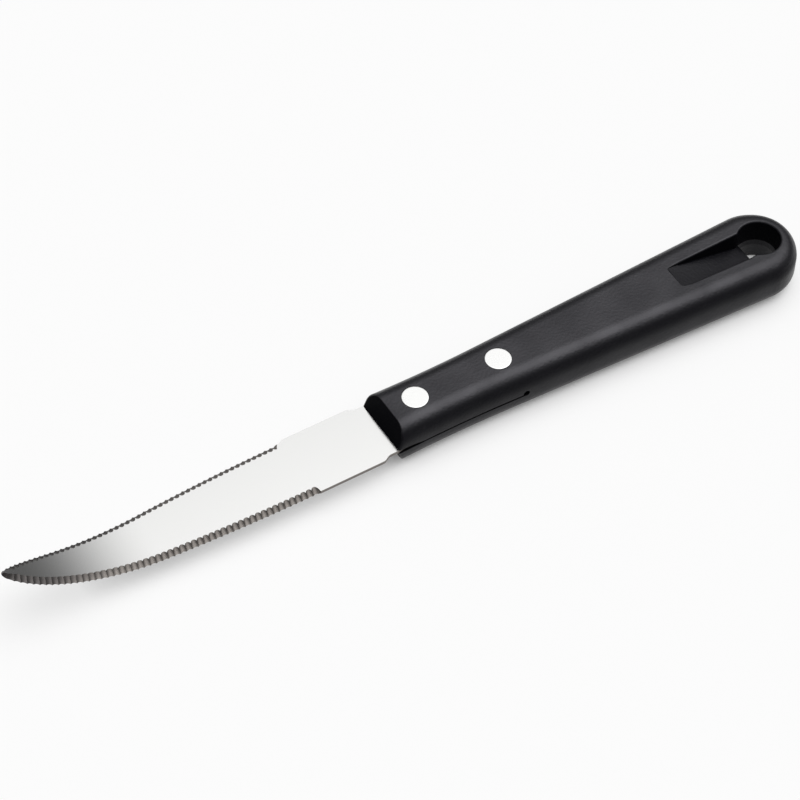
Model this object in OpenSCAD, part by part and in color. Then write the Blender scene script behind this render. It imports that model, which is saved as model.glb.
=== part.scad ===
// Grapefruit knife: a thin double-edged scalloped blade, bent up at its point, held in a forked
// moulded handle by two pairs of compression rivets. Lengths are in millimetres.
// The knife lies on its flat side: +X runs to the butt, +Z is up and the floor is at Z = 0.

/* [Blade] */
// Thickness of the blade's steel sheet
blade_thickness = 0.9; // [0.6:0.05:1.2]
// Length of the blade from the handle to the point, along the steel
blade_length = 97.1; // [85:0.1:110]
// Width of the plain heel between the handle and the scallops
heel_width = 17.3; // [17:0.1:20]
// Length of the plain heel, from the handle to the first scallop
heel_length = 20.56; // [14:0.02:28]
// Width over both cutting edges where the scallops start
edge_width = 16.84; // [15:0.02:17]
// Radius of each cutting edge's curve, seen from above
edge_radius = 537; // [480:1:700]
// Distance along the steel at which the rounded nose begins
nose_start = 70; // [62:0.5:78]
// Length of steel without scallops at the point
nose_plain = 1.2; // [0.8:0.1:3]
// Distance along the steel at which the upward bend begins
bend_start = 59; // [45:0.5:66]
// Radius of the upward bend
bend_radius = 65; // [55:1:110]

/* [Scallops] */
// Distance from one scallop to the next
scallop_pitch = 1.446; // [1.2:0.002:2]
// How far each scallop cuts into the cutting edge
scallop_depth = 0.3; // [0.1:0.02:0.4]
// Width of the ground bevel at the middle of a scallop
bevel_width = 1.65; // [1.3:0.05:2.4]
// How far the bevel's inner border swings between a scallop's middle and its ends
bevel_swing = 0.6; // [0.2:0.05:0.8]
// Number of pitches by which the far edge reaches its full bevel later than the near edge
far_edge_delay = 1; // [0:1:4]

/* [Tang] */
// Length of the tang inside the handle
tang_length = 34.6; // [28:0.1:42]
// Length of the tang's parallel part
tang_straight = 24; // [18:0.5:26]
// Width of the tang at its hidden end
tang_end_width = 12; // [10:0.1:13.5]
// How far the tang's edges stay inside the handle at its waist
tang_inset = 0.12; // [0.1:0.01:0.4]
// Length of the narrow neck between the handle and the shoulders
neck_length = 2.5; // [1.5:0.1:4]
// Length of the sloping shoulders
shoulder_length = 3.1; // [1.5:0.1:4]
// Gap between the tang and the slot's upper face
tang_clearance = 0.02; // [0.01:0.01:0.05]
// Gap between the tang and the slot's lower face
slot_slack = 0.25; // [0.05:0.05:0.5]

/* [Handle] */
// Length of the handle on the knife's middle plane
handle_length = 115; // [105:0.1:125]
// Thickness of the handle
handle_thickness = 12; // [11:0.1:14]
// Width of the handle at its waist
waist_width = 15.24; // [14.6:0.02:16.4]
// Distance of the waist behind the handle's front
waist_position = 15; // [10:0.5:18]
// Radius of the waist's hollow sides
waist_radius = 365; // [300:5:450]
// Angle at which each side widens towards the butt
side_taper = 2.26; // [1.8:0.02:2.6]
// Radius of the rounding along the handle's sides
side_radius = 4.4; // [3.5:0.1:4.8]
// Angle by which the front faces lean back from upright
front_lean = 21; // [12:1:28]
// Diameter of the round relief at the end of the slot
slot_relief = 1.6; // [1.2:0.1:2.4]
// Distance from the tang's end to the middle of the slot's relief
slot_run_out = 0.5; // [0.3:0.1:1]

/* [Hang hole] */
// Diameter of the hang hole
hang_hole_diameter = 10.3; // [9:0.1:11.5]
// Distance from the butt's end to the middle of the hang hole
hang_hole_setback = 9.1; // [8:0.05:10]
// Distance from the middle of the hang hole to the start of the sloping recess
recess_length = 24.8; // [20:0.1:32]
// Width of the recess at its start
recess_start_width = 6.2; // [5.5:0.1:6.6]
// Width of the recess at the hang hole
recess_hole_width = 7.5; // [7:0.1:8.4]
// Thickness of the web left between the two recesses at its rounded edge
web_thickness = 1.4; // [1:0.1:2]
// Distance from the middle of the hang hole to the web's rounded edge
web_setback = 2.3; // [1.8:0.1:3]

/* [Rivets] */
// Diameter of the flush rivet heads
head_diameter = 6.35; // [6:0.05:6.5]
// Thickness of the rivet heads
head_thickness = 1.6; // [1.2:0.1:2.2]
// Outside diameter of the tubular rivet shank
shank_diameter = 3.6; // [3.2:0.05:3.8]
// Diameter of the solid rivet post inside the shank
post_diameter = 2.2; // [1.6:0.05:2.4]
// Gap left between a shank or post and the head facing it
rivet_end_gap = 0.6; // [0.3:0.05:1]
// Gap all round a rivet head or shank in its hole
rivet_clearance = 0.05; // [0.02:0.01:0.1]
// Gap all round the rivet post in its tubular shank
post_clearance = 0.02; // [0.01:0.01:0.05]
// Distance of the front rivet behind the handle's front
front_rivet_position = 9.3; // [8:0.1:12]
// Distance of the rear rivet from the tang's end
rear_rivet_setback = 2.8; // [2.5:0.1:5]

/* [Hidden] */
$fn = 96;
small = 0.01;
steps = 6;

half_steel = blade_thickness / 2;
half_heel = heel_width / 2;
half_waist = waist_width / 2;
half_handle = handle_thickness / 2;
half_tang = half_waist - tang_inset;
half_tang_end = tang_end_width / 2;
tang_corner = 1.2;
nose_power = 5;

// The bevel's border starts its scallops a short lead behind the heel and leans them: each border
// arc is deepest where the cutting edge has the point of a tooth
border_lead = 1 / steps;
border_lean = 2 / steps;
tooth_lead = border_lead + border_lean;

// Scallops that fit between the heel and the plain point, and the last distance that is drawn
scallops = floor((blade_length - nose_plain - heel_length) / scallop_pitch - tooth_lead);
last_scallop = heel_length + (scallops + tooth_lead) * scallop_pitch;
near_run = tooth_lead * scallop_pitch;
far_run = near_run + far_edge_delay * scallop_pitch;
tip = blade_length - small;

// Where the hollow waist turns into the straight taper, and the butt's round end that meets it
taper_x = waist_position + waist_radius * sin(side_taper);
taper_y = half_waist + waist_radius * (1 - cos(side_taper));
butt_reach = taper_y * cos(side_taper) + (handle_length - taper_x) * sin(side_taper);
butt_radius = butt_reach / (1 + sin(side_taper));
butt_x = handle_length - butt_radius;
taper_run = (butt_x - butt_radius * sin(side_taper) - taper_x) / cos(side_taper);
waist_sweep = ceil(asin((waist_position + 3) / waist_radius) + side_taper);

// The hang hole and the slope of the recess floor, which runs into the web's rounded edge
hang_x = handle_length - hang_hole_setback;
recess_x = hang_x - recess_length;
web_radius = web_thickness / 2;
web_x = hang_x - web_setback - web_radius;
floor_run = web_x - recess_x;
floor_angle = atan2(half_handle, floor_run) - asin(web_radius / norm([floor_run, half_handle]));

slot_end = tang_length + slot_run_out;
rear_rivet_position = tang_length - rear_rivet_setback;
shank_hole = shank_diameter + 2 * rivet_clearance;
head_hole = head_diameter + 2 * rivet_clearance;
post_hole = post_diameter + 2 * post_clearance;
head_seat = half_handle - head_thickness;

// Moves the knife so that its box is centred over the origin and rests on the floor
blade_reach = along(tip) + half_steel * sin(bend_turn(tip));
shift_x = (blade_reach - handle_length) / 2;
shift_z = half_handle;

// Angle through which the steel has turned at a distance s from the handle
function bend_turn(s) = max(0, s - bend_start) / bend_radius * 180 / PI;

// Level distance from the handle, and height, reached at a distance s along the steel
function along(s) = min(s, bend_start) + bend_radius * sin(bend_turn(s));
function climb(s) = bend_radius * (1 - cos(bend_turn(s)));

// Point at distance s along the steel, sideways y, height h above the middle of the sheet
function on_blade(s, y, h) =
    [-(along(s) - h * sin(bend_turn(s))), y, climb(s) + h * cos(bend_turn(s))];

// Half width of the blade over its cutting edges
function nose(s) =
    s <= nose_start ? 1 : sqrt(1 - pow((s - nose_start) / (blade_length - nose_start), nose_power));
function edge_half(s) =
    (edge_width / 2 - pow(max(0, s - heel_length), 2) / (2 * edge_radius)) * nose(s);

// The bevel and its scallops shrink together on the narrow nose
function shrink(s) = min(1, edge_half(s) / (2 * bevel_width));

// Share of a pitch, from 0 to 1, passed at s in a row of scallops that begins a lead behind the heel
function part_of_pitch(s, lead) =
    let(u = (s - heel_length) / scallop_pitch - lead) u - floor(u + small);

// Depth of a scallop, 0 at its ends and 1 at its deepest place: of the cutting edge and of the border
function edge_scallop(s) =
    s >= last_scallop ? 0 : 1 - pow(2 * part_of_pitch(s, tooth_lead) - 1, 2);
function border_scallop(s) =
    let(part = part_of_pitch(s, border_lead) - border_lean)
    s >= last_scallop ? 1 : 1 - pow(part < 0 ? part / border_lean : part / (1 - border_lean), 2);

// Share of the full bevel at s: the near edge starts with a half moon, the far one with a slope
function share(s, run) = max(0, min(1, (s - heel_length) / run));
function near_share(s) = sin(90 * share(s, near_run));
function far_share(s) = share(s, far_run);

// Half widths of the cutting edge, on the lower face, and of the bevel's border, on the upper face
function cut_half(s, ground) =
    half_heel + (edge_half(s) - scallop_depth * edge_scallop(s) * shrink(s) - half_heel) * ground;
function border_half(s, ground) =
    half_heel
    + (edge_half(s) - (bevel_width - bevel_swing * (1 - border_scallop(s))) * shrink(s) - half_heel)
      * ground;

// One cross section of the scalloped blade: near edge, near border, far border, far edge
function section(s) = [
    on_blade(s, -cut_half(s, near_share(s)), -half_steel),
    on_blade(s, -border_half(s, near_share(s)), half_steel),
    on_blade(s, border_half(s, far_share(s)), half_steel),
    on_blade(s, cut_half(s, far_share(s)), -half_steel)
];

// Distances of the cross sections: along the scallops, then closing up round the point
stations = concat(
    [for (i = [0 : (scallops + tooth_lead) * steps]) heel_length + i * scallop_pitch / steps],
    [for (i = [1 : steps]) last_scallop + (tip - last_scallop) * sin(90 * i / steps)]
);

// Scalloped part of the blade, from the heel to the point
module scalloped_blade() {
    count = len(stations);
    points = [for (s = stations) each section(s)];
    sides = [
        for (i = [0 : count - 2], k = [0 : 3])
            let(a = 4 * i + k, b = 4 * i + (k + 1) % 4)
            each [[a, b + 4, b], [a, a + 4, b + 4]]
    ];
    last = 4 * (count - 1);
    ends = [[0, 1, 2, 3], [last + 3, last + 2, last + 1, last]];
    polyhedron(points = points, faces = concat(sides, ends), convexity = 10);
}

// Plan of the flat steel: plain heel, shoulders, neck and tapered tang
module flat_plan() {
    near = [
        [-heel_length, half_heel],
        [-neck_length - shoulder_length, half_heel],
        [-neck_length, half_tang],
        [tang_straight, half_tang],
        [tang_length - tang_corner, half_tang_end],
        [tang_length, half_tang_end - tang_corner]
    ];
    far = [for (i = [len(near) - 1 : -1 : 0]) [near[i][0], -near[i][1]]];
    polygon(concat(near, far));
}

// Upright drill through the whole knife at one rivet
module rivet_drill(x, diameter) {
    translate([x, 0, -handle_thickness])
        cylinder(d = diameter, h = 2 * handle_thickness);
}

// Moves a piece from the knife's middle plane to its place over the floor
module placed() {
    translate([shift_x, 0, shift_z]) children();
}

// Stainless blade with its tang
module blade() {
    color([0.80, 0.81, 0.82]) placed() difference() {
        union() {
            translate([0, 0, -half_steel]) linear_extrude(blade_thickness) flat_plan();
            scalloped_blade();
        }
        rivet_drill(front_rivet_position, shank_hole);
        rivet_drill(rear_rivet_position, shank_hole);
    }
}

// Section of the handle between an inner line and its rounded side, with y as the height
module side_section(inner, side) {
    upright = half_handle - side_radius;
    core = side - side_radius;
    translate([inner, -upright]) square([side - inner, 2 * upright]);
    translate([inner, -half_handle]) square([core - inner, handle_thickness]);
    for (y = [-upright, upright]) translate([core, y]) circle(side_radius);
}

// Far half of the handle: hollow waist, straight taper and round butt
module handle_half() {
    intersection() {
        translate([taper_x, taper_y, 0]) rotate(side_taper) {
            translate([0, waist_radius, 0])
                rotate_extrude(start = 270 - waist_sweep, angle = waist_sweep)
                    translate([waist_radius, 0]) mirror([1, 0]) side_section(-waist_width, 0);
            rotate([90, 0, 90]) linear_extrude(taper_run) side_section(-waist_width, 0);
            translate([taper_run, -butt_radius, 0])
                rotate_extrude(start = -30, angle = 120) side_section(0, butt_radius);
        }
        translate([-5, 0, -handle_thickness])
            cube([handle_length + 10, handle_length, 2 * handle_thickness]);
    }
}

// Everything behind the two leaning front faces
module front_trim() {
    reach = half_handle + 1;
    back = reach * tan(front_lean);
    rotate([90, 0, 0]) linear_extrude(2 * waist_width, center = true) polygon([
        [0, 0], [back, reach], [handle_length + 1, reach], [handle_length + 1, -reach], [back, -reach]
    ]);
}

// Slot for the tang, open at both sides, with its round relief
module tang_slot() {
    height = blade_thickness + tang_clearance + slot_slack;
    translate([-2, -waist_width, -half_steel - slot_slack])
        cube([slot_end + 2, 2 * waist_width, height]);
    translate([slot_end, 0, 0]) rotate([90, 0, 0])
        cylinder(d = slot_relief, h = 2 * waist_width, center = true);
}

// Space for one pair of rivets: shank hole and a head recess in each face
module rivet_space(x) {
    rivet_drill(x, shank_hole);
    translate([x, 0, head_seat]) cylinder(d = head_hole, h = handle_thickness);
    translate([x, 0, -head_seat - handle_thickness]) cylinder(d = head_hole, h = handle_thickness);
}

// Web between the recess floors, seen from the side, with its rounded edge at the hang hole
module web() {
    end_x = web_x + web_radius * sin(floor_angle);
    end_z = web_radius * cos(floor_angle);
    rotate([90, 0, 0]) linear_extrude(2 * waist_width, center = true) {
        polygon([[recess_x, half_handle], [end_x, end_z], [end_x, -end_z], [recess_x, -half_handle]]);
        translate([web_x, 0]) circle(web_radius);
    }
}

// Hang hole with the sloping recess that leads to it on both faces
module hang_space() {
    start = recess_start_width / 2;
    finish = recess_hole_width / 2;
    difference() {
        translate([0, 0, -handle_thickness]) linear_extrude(2 * handle_thickness) {
            translate([hang_x, 0]) circle(d = hang_hole_diameter);
            polygon([[recess_x, -start], [hang_x - web_setback, -finish], [hang_x, -finish],
                     [hang_x, finish], [hang_x - web_setback, finish], [recess_x, start]]);
        }
        web();
    }
}

// One-piece moulded handle
module handle() {
    color([0.16, 0.16, 0.17]) placed() difference() {
        intersection() {
            union() {
                handle_half();
                mirror([0, 1, 0]) handle_half();
            }
            front_trim();
        }
        tang_slot();
        rivet_space(front_rivet_position);
        rivet_space(rear_rivet_position);
        hang_space();
    }
}

// Upper rivet half: flush head with a solid post
module post_half(x) {
    color([0.86, 0.86, 0.87]) placed() translate([x, 0, 0]) {
        translate([0, 0, head_seat]) cylinder(d = head_diameter, h = head_thickness);
        translate([0, 0, rivet_end_gap - head_seat])
            cylinder(d = post_diameter, h = 2 * head_seat - rivet_end_gap + small);
    }
}

// Lower rivet half: flush head with a tubular shank
module socket_half(x) {
    color([0.86, 0.86, 0.87]) placed() translate([x, 0, 0]) difference() {
        union() {
            translate([0, 0, -half_handle]) cylinder(d = head_diameter, h = head_thickness);
            translate([0, 0, -head_seat - small])
                cylinder(d = shank_diameter, h = 2 * head_seat - rivet_end_gap + small);
        }
        translate([0, 0, -head_seat]) cylinder(d = post_hole, h = handle_thickness);
    }
}

module front_post() post_half(front_rivet_position);
module front_socket() socket_half(front_rivet_position);
module rear_post() post_half(rear_rivet_position);
module rear_socket() socket_half(rear_rivet_position);

blade();
handle();
front_post();
front_socket();
rear_post();
rear_socket();
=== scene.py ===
from math import acos, asin, atan2, cos, hypot, pi, radians, sin, sqrt, tan

import bmesh
import bpy
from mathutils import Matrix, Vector


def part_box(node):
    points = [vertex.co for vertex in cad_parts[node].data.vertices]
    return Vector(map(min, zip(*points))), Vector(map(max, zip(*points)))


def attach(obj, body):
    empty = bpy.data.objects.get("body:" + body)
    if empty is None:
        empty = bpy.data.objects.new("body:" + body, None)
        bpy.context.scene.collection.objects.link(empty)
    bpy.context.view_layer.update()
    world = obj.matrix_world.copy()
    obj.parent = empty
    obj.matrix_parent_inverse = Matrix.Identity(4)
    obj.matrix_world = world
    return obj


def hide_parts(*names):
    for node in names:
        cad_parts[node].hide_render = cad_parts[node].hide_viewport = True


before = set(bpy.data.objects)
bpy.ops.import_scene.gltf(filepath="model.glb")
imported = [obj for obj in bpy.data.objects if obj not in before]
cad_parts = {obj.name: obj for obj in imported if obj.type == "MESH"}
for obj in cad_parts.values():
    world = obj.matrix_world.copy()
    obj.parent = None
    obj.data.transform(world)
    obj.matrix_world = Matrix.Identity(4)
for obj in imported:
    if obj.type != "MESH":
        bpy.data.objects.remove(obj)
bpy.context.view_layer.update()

bl_info = {
    "name": "Grapefruit knife",
    "version": (1, 0, 0),
    "blender": (4, 5, 0),
    "location": "View3D > Sidebar > Knife",
    "description": "Builds the scalloped blade, the moulded handle, the rivets and the studio",
    "category": "Object",
}

MM = 0.001
HANDLE_LENGTH = 115 * MM
HALF_HANDLE = 6 * MM
# Distances that count as none: between points to merge, between heights and along a seam
MERGE, EQUAL, SEAM = 0.002 * MM, 0.001 * MM, 0.0005 * MM
# Edges sharper than these stay sharp in shading
GROUND_CREASE, MOULDED_CREASE = radians(22), radians(28)
# Steps round a rivet and its seat
ROUND_STEPS = 64
# Where most of the noise's values lie, for lines and for grain
LINE_RANGE = {"From Min": 0.25, "From Max": 0.75}
GRAIN_RANGE = {"From Min": 0.3, "From Max": 0.7}
# Fineness of the plastic's grain
GRAIN = {"Detail": 2.0, "Roughness": 0.5}
# Places of two colours among a Mix node's inputs, and of their mix among its outputs
COLOUR_A, COLOUR_B, COLOUR_MIX = 6, 7, 2
PLASTIC_IOR = 1.42
# Places of the handle's painted-shade plastic and of its cored plastic, duller with painted shade,
# in its list of materials
PAINTED_SHADE, CORED = 1, 2
SENSOR_WIDTH = 36

# The shapes below are drawn from the middle of the handle's front, on the blade's middle plane
HANDLE_LOW, HANDLE_HIGH = (Vector(corner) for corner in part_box("handle"))
ORIGIN = Vector((HANDLE_HIGH.x - HANDLE_LENGTH, 0, HANDLE_LOW.z + HALF_HANDLE))


def clamp(value):
    """Keeps a share between 0 and 1"""
    return min(1, max(0, value))


def blend(start, end, share):
    """A value between two others"""
    return start + (end - start) * share


def shares(steps):
    """Even shares from 0 to 1"""
    return [i / steps for i in range(steps + 1)]


def quarter(steps):
    """Even angles from 0 to a quarter turn"""
    return [pi / 2 * i / steps for i in range(steps + 1)]


def heading(turn):
    """Direction in plan at an angle from +X"""
    return Vector((cos(turn), sin(turn)))


def number(name, description, default, **options):
    """A plain number"""
    return bpy.props.FloatProperty(
        name=name, description=description, default=default, **options)


def length(name, description, default):
    """A length in millimetres, kept in metres"""
    return number(name, description, default * MM, unit="LENGTH", precision=5)


def angle(name, description, default):
    """An angle in degrees, kept in radians"""
    return number(name, description, radians(default), subtype="ANGLE")


def linear(code):
    """Turns an sRGB hex colour into linear red, green, blue and alpha"""
    values = [int(code[i:i + 2], 16) / 255 for i in (1, 3, 5)]
    return (*(v / 12.92 if v <= 0.04045 else ((v + 0.055) / 1.055) ** 2.4 for v in values), 1.0)


def colour(name, description, code):
    """A colour written as sRGB hex"""
    return bpy.props.FloatVectorProperty(
        name=name, description=description, default=linear(code), size=4, min=0, max=1,
        subtype="COLOR")


class BladeSettings(bpy.types.PropertyGroup):
    thickness: length("Thickness", "Thickness of the steel sheet", 0.9)
    reach: length("Length", "From the handle to the point, along the steel", 97.1)
    heel_width: length("Heel width", "Width of the plain heel", 17.3)
    heel_length: length("Heel length", "Length of the plain heel", 20.77)
    edge_width: length("Edge width", "Width over both cutting edges at the first scallop", 17.04)
    edge_radius: length("Edge radius", "Radius of each cutting edge's curve in plan", 537)
    nose_start: length("Nose start", "Where the rounded nose begins", 70)
    nose_plain: length("Plain nose", "Length without scallops at the point", 0.7)
    bend_start: length("Bend start", "Where the upward bend begins", 59)
    bend_radius: length("Bend radius", "Radius of the upward bend", 65)
    pitch: length("Scallop pitch", "Distance from one scallop to the next", 1.446)
    scallop_depth: length("Scallop depth", "How far a scallop cuts into the edge", 0.3)
    bevel_width: length("Bevel width", "Width of the ground bevel at its widest", 1.75)
    bevel_swing: length("Bevel swing", "How far the bevel's border swings", 0.6)
    hollow: length("Hollow", "Depth of the hollow grinding", 0.03)
    tang_length: length("Tang length", "Length of the tang inside the handle", 34.6)
    tang_straight: length("Tang straight", "Length of the tang's parallel part", 24)
    tang_width: length("Tang width", "Width of the tang inside the handle", 14.6)
    tang_end_width: length("Tang end", "Width of the tang's hidden end", 12)
    neck_width: length("Neck width", "Width of the neck in front of the handle", 15.4)
    neck: length("Neck", "Length of the narrow neck", 1.8)
    shoulder: length("Shoulder", "Length of the sloping shoulder", 2.4)
    sheet_colour: colour("Sheet", "Polished stainless sheet", "#CBCBCA")
    ground_colour: colour("Near bevel", "Ground stainless of the near edge", "#827D79")
    # The far and the tip colours are painted shade: darker where the bevels turn from the light
    far_bevel_shade_colour: colour("Far bevel", "Ground stainless of the far edge", "#736E6B")
    tip_bevel_shade_colour: colour("Ground tip", "Ground stainless near the point", "#545150")


class HandleSettings(bpy.types.PropertyGroup):
    waist_width: length("Waist", "Width at the waist", 15.22)
    waist_position: length("Waist position", "From the front to the waist", 15)
    waist_radius: length("Waist radius", "Radius of the hollow sides", 365)
    side_taper: angle("Side taper", "Angle at which each side widens", 2.26)
    side_radius: length("Side radius", "Rounding along the sides", 4.4)
    front_lean: angle("Front lean", "Angle by which the front faces lean back", 21)
    front_edge: length("Front edge", "Rounding of the front faces' edges", 0.6)
    slot_top: length("Slot top", "Slot's upper face, over the middle plane", 0.47)
    slot_bottom: length("Slot bottom", "Slot's lower face, under the middle plane", 0.7)
    slot_lip: length("Slot lip", "Slot's upper lip, under the middle plane", 0.26)
    slot_rear_lip: length("Rear lip", "Upper lip over the tang's tapered part", 0.2)
    slot_end: length("Slot end", "From the front to the slot's relief", 34.75)
    slot_relief: length("Slot relief", "Diameter of the slot's relief", 1.6)
    hole_diameter: length("Hang hole", "Diameter of the hang hole", 10.3)
    hole_setback: length("Hole setback", "From the butt to the hole's middle", 9.1)
    recess_length: length("Recess", "From the hole's middle to the recess's start", 24.8)
    recess_start_width: length("Recess start", "Width of the recess at its start", 6.2)
    recess_hole_width: length("Recess end", "Width of the recess at the hole", 7.5)
    web_thickness: length("Web", "Thickness of the web's rounded edge", 1.4)
    web_setback: length("Web setback", "From the hole's middle to the web's edge", 2.3)
    rim_radius: length("Rim", "Rounding of the recess's and the hole's rims", 0.5)
    floor_fillet: length("Floor fillet", "Fillet round the recess's floor", 0.25)
    recess_shift: length("Recess shift", "How much further the near side is cut", 0.45)
    hole_draft: length("Hole draft", "How much the hole narrows to the middle plane", 0.2)
    hole_ledge: length("Hole ledge", "How much further the lower half narrows", 0.15)
    ledge_height: length("Ledge height", "Depth of the ledge under the middle plane", 1.45)
    plastic_colour: colour("Plastic", "Black moulded plastic", "#0B0B0F")


class RivetSettings(bpy.types.PropertyGroup):
    front: length("Front rivet", "From the handle's front to the front rivet", 9.3)
    rear: length("Rear rivet", "From the handle's front to the rear rivet", 31.8)
    head_diameter: length("Head", "Diameter of the flush head", 6.35)
    head_thickness: length("Head thickness", "Thickness of the head", 1.6)
    head_clearance: length("Head clearance", "Gap all round a head", 0.05)
    head_edge: length("Head edge", "Rounding of the head's rim", 0.12)
    shank_diameter: length("Shank", "Outside diameter of the tubular shank", 3.6)
    post_diameter: length("Post", "Diameter of the post inside the shank", 2.2)
    post_clearance: length("Post clearance", "Gap all round the post", 0.02)
    end_gap: length("End gap", "Gap between a shank and the facing head", 0.6)
    metal_colour: colour("Rivet metal", "Nickel-plated brass", "#D7D7D6")


class StudioSettings(bpy.types.PropertyGroup):
    azimuth: angle("Azimuth", "Turn of the camera round the knife", 33.0787)
    elevation: angle("Elevation", "Height of the camera over the floor", 50.2207)
    roll: angle("Roll", "Roll of the camera", 1.7707)
    distance: length("Distance", "From the camera to the point it aims at", 700)
    aim: bpy.props.FloatVectorProperty(
        name="Aim", description="Point that the camera aims at, from the handle's front",
        default=(6.6 * MM, 2.1 * MM, 4.4 * MM), size=3, unit="LENGTH")
    lens: number("Lens", "Focal length on the camera's sensor", 138.2976, unit="CAMERA")
    floor_size: length("Floor", "Side of the square floor", 6000)
    floor_colour: colour("Floor colour", "Plain pale floor", "#FCFCFC")
    floor_far_colour: colour("Far floor", "The floor out of the light", "#A0A0A0")
    background_share: number("Background", "Share of the floor that shows as background", 0.68,
                             min=0, max=1)
    contact: length("Contact", "Reach of the floor's contact shadow", 8)
    fade_start: length("Fade start", "Where the floor starts to fade", 170)
    fade_end: length("Fade end", "Where the floor has faded", 360)
    zenith: number("Zenith", "Brightness of the soft light overhead", 4.55, min=0)
    horizon: number("Horizon", "Brightness of the room at the horizon", 0.15, min=0)
    light_middle: bpy.props.FloatVectorProperty(
        name="Light middle", description="Middle of the light on a level sheet at height 1",
        default=(0.4, -0.19), size=2)
    light_spread: number("Light spread", "How widely the light spreads", 0.9, min=0.01)
    light_cap: number("Light cap", "Share of the zenith in the light's even middle", 0.66,
                      min=0, max=1)
    left_fall: number("Left fall", "How much faster the light falls to the left", 1.5, min=0)
    near_fall: number("Near fall", "How much faster the light falls to the camera", 2.0, min=0)


def node(tree, kind, settings=None, sockets=None):
    """Adds a shader node with its settings; another node's socket given as a value is linked"""
    added = tree.nodes.new(kind)
    for name, value in (settings or {}).items():
        setattr(added, name, value)
    for name, value in (sockets or {}).items():
        if isinstance(value, bpy.types.NodeSocket):
            tree.links.new(value, added.inputs[name])
        else:
            added.inputs[name].default_value = value
    return added


def fine_lines(tree, place, sizes, detail, coarseness, roughness, relief):
    """A metal's roughness and relief from lines whose sizes along X, Y and Z are in millimetres"""
    (smooth, rough), (strength, distance) = roughness, relief
    stretched = node(tree, "ShaderNodeMapping", sockets={
        "Vector": place, "Scale": [1 / (size * MM) for size in sizes]})
    lines = node(tree, "ShaderNodeTexNoise", sockets={
        "Vector": stretched.outputs["Vector"], "Scale": 1.0, "Detail": detail,
        "Roughness": coarseness}).outputs["Fac"]
    sheen = node(tree, "ShaderNodeMapRange", sockets={
        "Value": lines, **LINE_RANGE, "To Min": smooth, "To Max": rough})
    bump = node(tree, "ShaderNodeBump", sockets={
        "Height": lines, "Strength": strength, "Distance": distance * MM})
    return {"Metallic": 1.0, "Roughness": sheen.outputs["Result"],
            "Normal": bump.outputs["Normal"]}


def new_material(name):
    """An empty node material, its tree and Object coordinates"""
    material = bpy.data.materials.new(name)
    material.use_nodes = True
    tree = material.node_tree
    tree.nodes.clear()
    return material, tree, node(tree, "ShaderNodeTexCoord").outputs["Object"]


def polished_stainless_sheet(base):
    """Rolled and polished stainless sheet: bright, with faint polishing lines along the blade"""
    material, tree, place = new_material("polished_stainless_sheet")
    # Lines of 0.2 mm across and 25 mm along, drawn coarser than real polish so that they can show
    polish = fine_lines(tree, place, (25, 0.2, 0.2), 3.0, 0.6, (0.10, 0.15), (0.02, 0.02))
    shader = node(tree, "ShaderNodeBsdfPrincipled", sockets={"Base Color": base, **polish})
    node(tree, "ShaderNodeOutputMaterial", sockets={"Surface": shader.outputs["BSDF"]})
    return material


def ground_stainless_bevel(near, far, tip):
    """Stainless ground with a coarse wheel: greyer than the sheet, with grit lines across the edge.
    Painted shade: the far bevel is painted darker, and both bevels darker towards the bent point"""
    material, tree, place = new_material("ground_stainless_bevel")
    # Grit lines of 0.12 mm along the edge and 2 mm across it
    grit = fine_lines(tree, place, (0.12, 2, 2), 2.0, 0.6, (0.40, 0.55), (0.12, 0.03))
    # Painted shade: the far edge is painted darker than the near one, and darkens sooner towards
    # the point
    slant, tip_start, tip_end = -1.5, ORIGIN.x - 62 * MM, ORIGIN.x - 80 * MM
    axes = node(tree, "ShaderNodeSeparateXYZ", sockets={"Vector": place}).outputs
    far_shade_share = node(tree, "ShaderNodeMapRange", sockets={
        "Value": axes["Y"], "From Min": -2 * MM, "From Max": 2 * MM})
    edges = node(tree, "ShaderNodeMix", {"data_type": "RGBA"}, {
        "Factor": far_shade_share.outputs["Result"], COLOUR_A: near, COLOUR_B: far})
    # Painted shade: both bevels darken towards the point, where the blade bends up
    along = node(tree, "ShaderNodeMath", {"operation": "MULTIPLY_ADD"}, {
        0: axes["Y"], 1: slant, 2: axes["X"]})
    point_shade_share = node(tree, "ShaderNodeMapRange", sockets={
        "Value": along.outputs["Value"], "From Min": tip_start, "From Max": tip_end})
    steel = node(tree, "ShaderNodeMix", {"data_type": "RGBA"}, {
        "Factor": point_shade_share.outputs["Result"], COLOUR_A: edges.outputs[COLOUR_MIX],
        COLOUR_B: tip})
    shader = node(tree, "ShaderNodeBsdfPrincipled", sockets={
        "Base Color": steel.outputs[COLOUR_MIX], **grit})
    node(tree, "ShaderNodeOutputMaterial", sockets={"Surface": shader.outputs["BSDF"]})
    return material


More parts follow.
